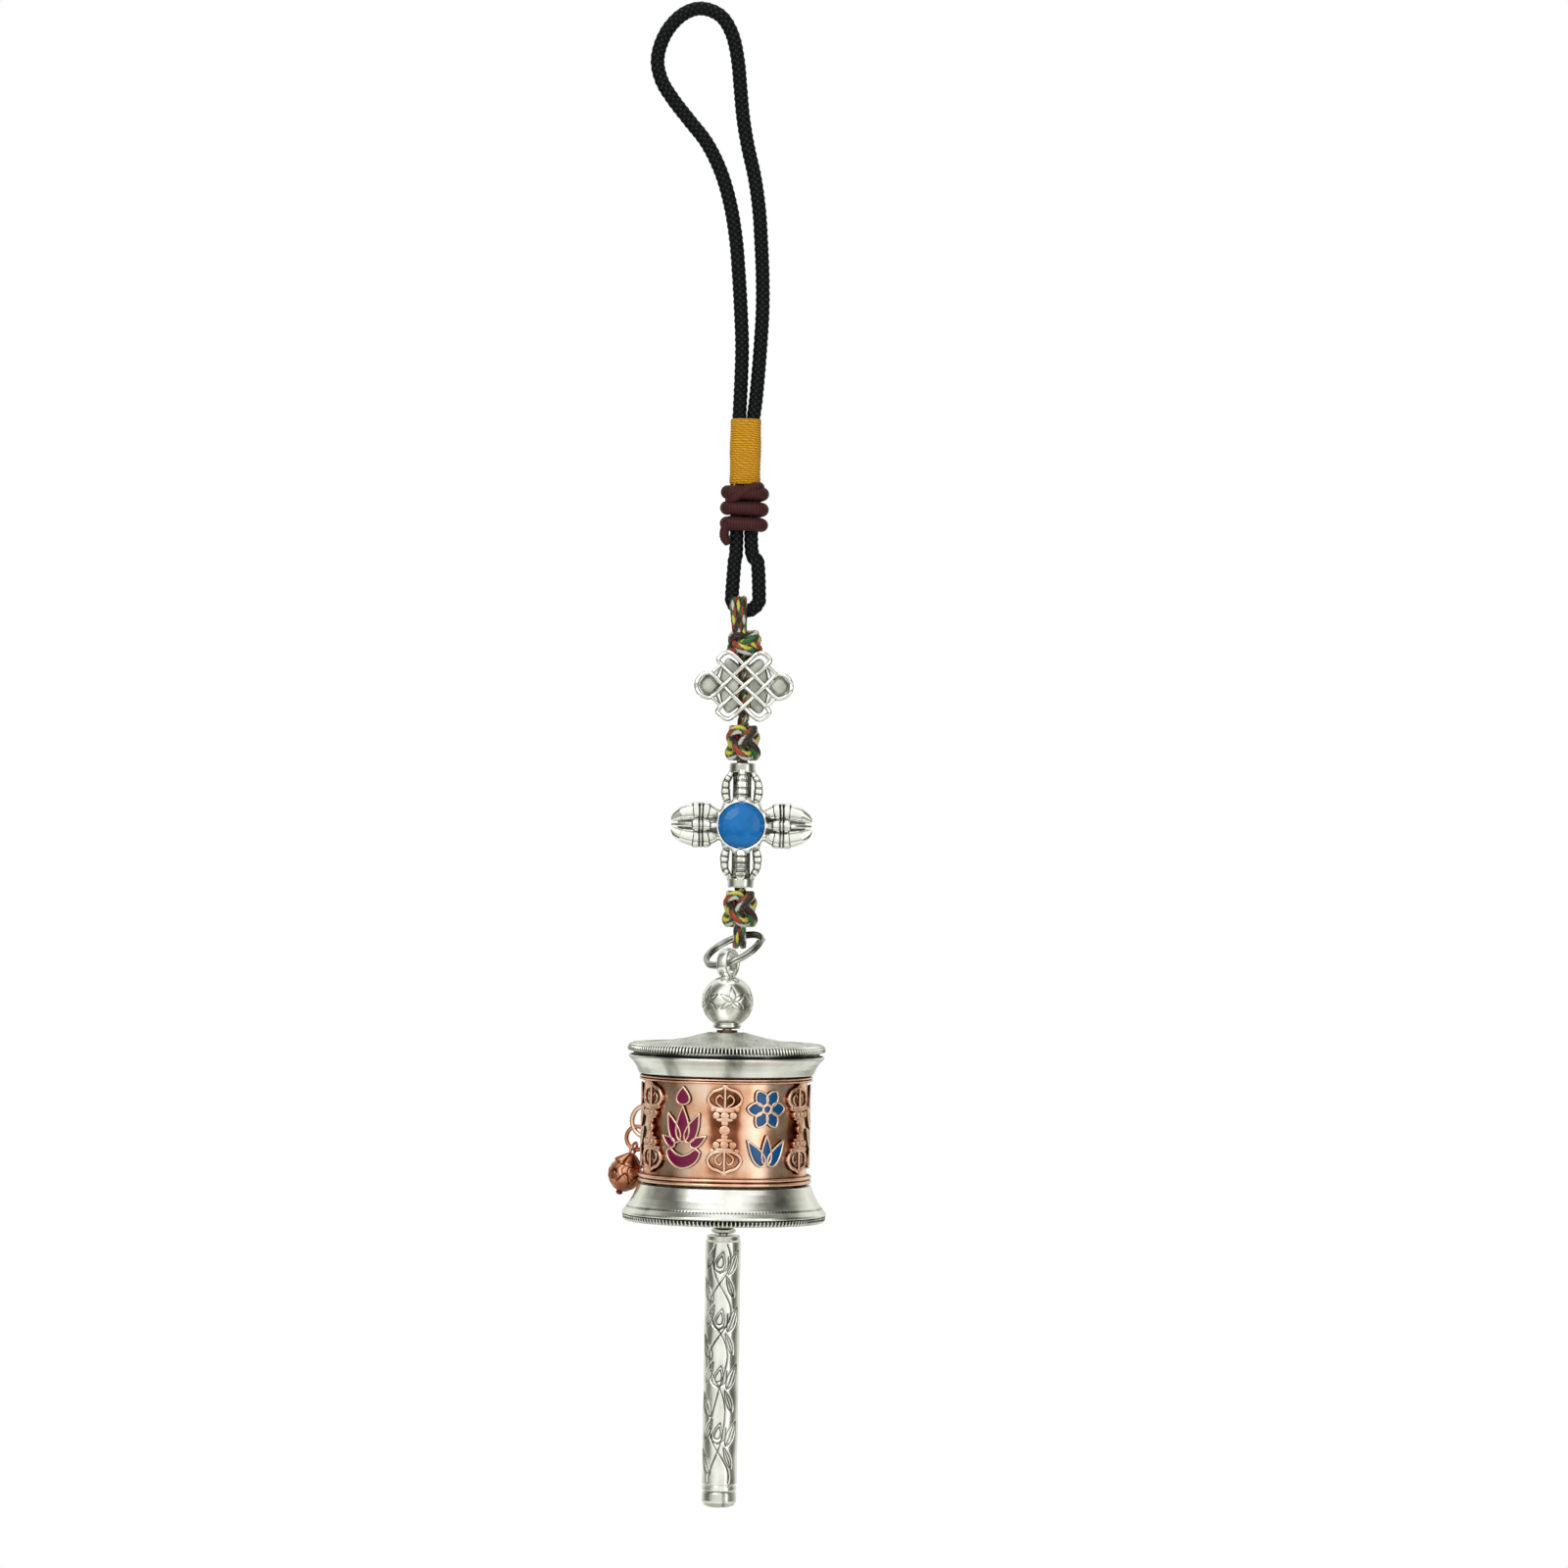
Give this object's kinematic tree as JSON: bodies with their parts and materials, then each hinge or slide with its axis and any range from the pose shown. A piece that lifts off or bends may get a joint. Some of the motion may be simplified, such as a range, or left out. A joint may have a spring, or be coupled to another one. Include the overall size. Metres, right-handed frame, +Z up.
{
  "type": "prayer wheel",
  "caption": "Miniature hand prayer wheel hung from a knotted cord: a spinning ornamented drum with a side weight, on a handle below a ball finial and split ring.",
  "frame": {"origin": "inside of the top of the cord loop, where a hook or finger holds it", "axes": "+Z up along the hanging object, -Y its front, +X to its right; the wheel's axis is parallel to Z"},
  "size_m": [0.0378, 0.0352, 0.2597],
  "materials": {
    "braided_cord": "black braided nylon, matt with a faint sheen",
    "golden_thread": "golden-yellow sewing thread wound close",
    "maroon_cord": "dark maroon round cord",
    "metallic_string": "five thin cords in yellow, white, green, red and dark maroon with metallic glints",
    "polished_silver": "polished white metal with a grey patina in the hollows",
    "steel": "bright plated steel",
    "blue_stone": "glossy opaque blue stone",
    "brass_bush": "plain turned brass",
    "rose_copper": "rose-coloured polished copper, darker in the hollows",
    "dark_copper": "darkened copper, bright on its edges",
    "wood": "plain turned wood, hidden inside",
    "paper": "blank rolled paper",
    "magenta_enamel": "glossy magenta enamel",
    "blue_enamel": "glossy dark blue enamel",
    "green_enamel": "glossy deep green enamel"
  },
  "bodies": {
    "strap": {"hanging_cord": "braided_cord", "cord_neck": "braided_cord", "thread_whipping": "golden_thread", "cord_wrap": "maroon_cord", "cord_eye": "braided_cord"},
    "charm_string": {"string_upper_bight": "metallic_string", "string_lower_bight": "metallic_string", "string_upper_run": "metallic_string", "string_lower_run": "metallic_string", "string_upper_knot": "metallic_string", "string_middle_knot": "metallic_string", "string_lower_knot": "metallic_string"},
    "knot_charm": {"endless_knot_charm": "polished_silver"},
    "vajra_charm": {"crossed_vajra_charm": "polished_silver", "stone_front": "blue_stone", "stone_back": "blue_stone"},
    "ring": {"split_ring": "steel"},
    "handle": {"finial": "polished_silver", "spindle": "steel", "upper_washer": "brass_bush", "lower_washer": "brass_bush", "handle_bead": "polished_silver", "handle_tube": "polished_silver", "handle_core": "wood", "handle_cap": "polished_silver"},
    "drum": {"lid": "polished_silver", "lid_bush": "brass_bush", "lid_beading": "polished_silver", "upper_rim": "rose_copper", "drum_shell": "rose_copper", "lower_rim": "rose_copper", "base": "polished_silver", "base_reeding": "polished_silver", "base_bush": "brass_bush", "scroll_core": "wood", "paper_scroll": "paper", "vajra_ornament_1": "rose_copper", "vajra_ornament_2": "rose_copper", "vajra_ornament_3": "rose_copper", "vajra_ornament_4": "rose_copper", "vajra_ornament_6": "rose_copper", "enamel_frame_1": "rose_copper", "enamel_frame_2": "rose_copper", "enamel_frame_3": "rose_copper", "enamel_frame_4": "rose_copper", "enamel_frame_5": "rose_copper", "enamel_frame_6": "rose_copper", "enamel_1": "magenta_enamel", "enamel_2": "blue_enamel", "enamel_3": "green_enamel", "enamel_4": "magenta_enamel", "enamel_5": "blue_enamel", "enamel_6": "green_enamel", "weight_eye": "rose_copper"},
    "link": {"weight_link": "dark_copper"},
    "weight": {"weight_cap": "dark_copper", "weight_ball": "dark_copper"}
  },
  "joints": [
    {"name": "cord_swing", "type": "hinge", "parent": "strap", "child": "charm_string", "pos_m": [0.00955, 0, -0.10085], "axis": [0, 1, 0], "range_deg": [-50, 50]},
    {"name": "knot_charm_turn", "type": "hinge", "parent": "charm_string", "child": "knot_charm", "pos_m": [0.00955, 0, -0.1161], "axis": [0, 0, 1], "continuous": true},
    {"name": "vajra_charm_turn", "type": "hinge", "parent": "charm_string", "child": "vajra_charm", "pos_m": [0.00955, 0, -0.1403], "axis": [0, 0, 1], "continuous": true},
    {"name": "ring_swing", "type": "hinge", "parent": "charm_string", "child": "ring", "pos_m": [0.00955, 0, -0.1594], "axis": [1, 0, 0], "range_deg": [-10, 80]},
    {"name": "wheel_swing", "type": "hinge", "parent": "ring", "child": "handle", "pos_m": [0.00775, -0.00915, -0.16401], "axis": [1, 0, 0], "range_deg": [-90, 10]},
    {"name": "drum_spin", "type": "hinge", "parent": "handle", "child": "drum", "pos_m": [0.00775, -0.00915, -0.192], "axis": [0, 0, 1], "continuous": true},
    {"name": "weight_link_swing", "type": "hinge", "parent": "drum", "child": "link", "pos_m": [-0.00734, -0.00305, -0.19395], "axis": [0.3746, 0.9272, 0], "range_deg": [0, 35]},
    {"name": "weight_swing", "type": "hinge", "parent": "link", "child": "weight", "pos_m": [-0.0081, -0.00274, -0.19659], "axis": [0.3746, 0.9272, 0], "range_deg": [0, 40]}
  ]
}
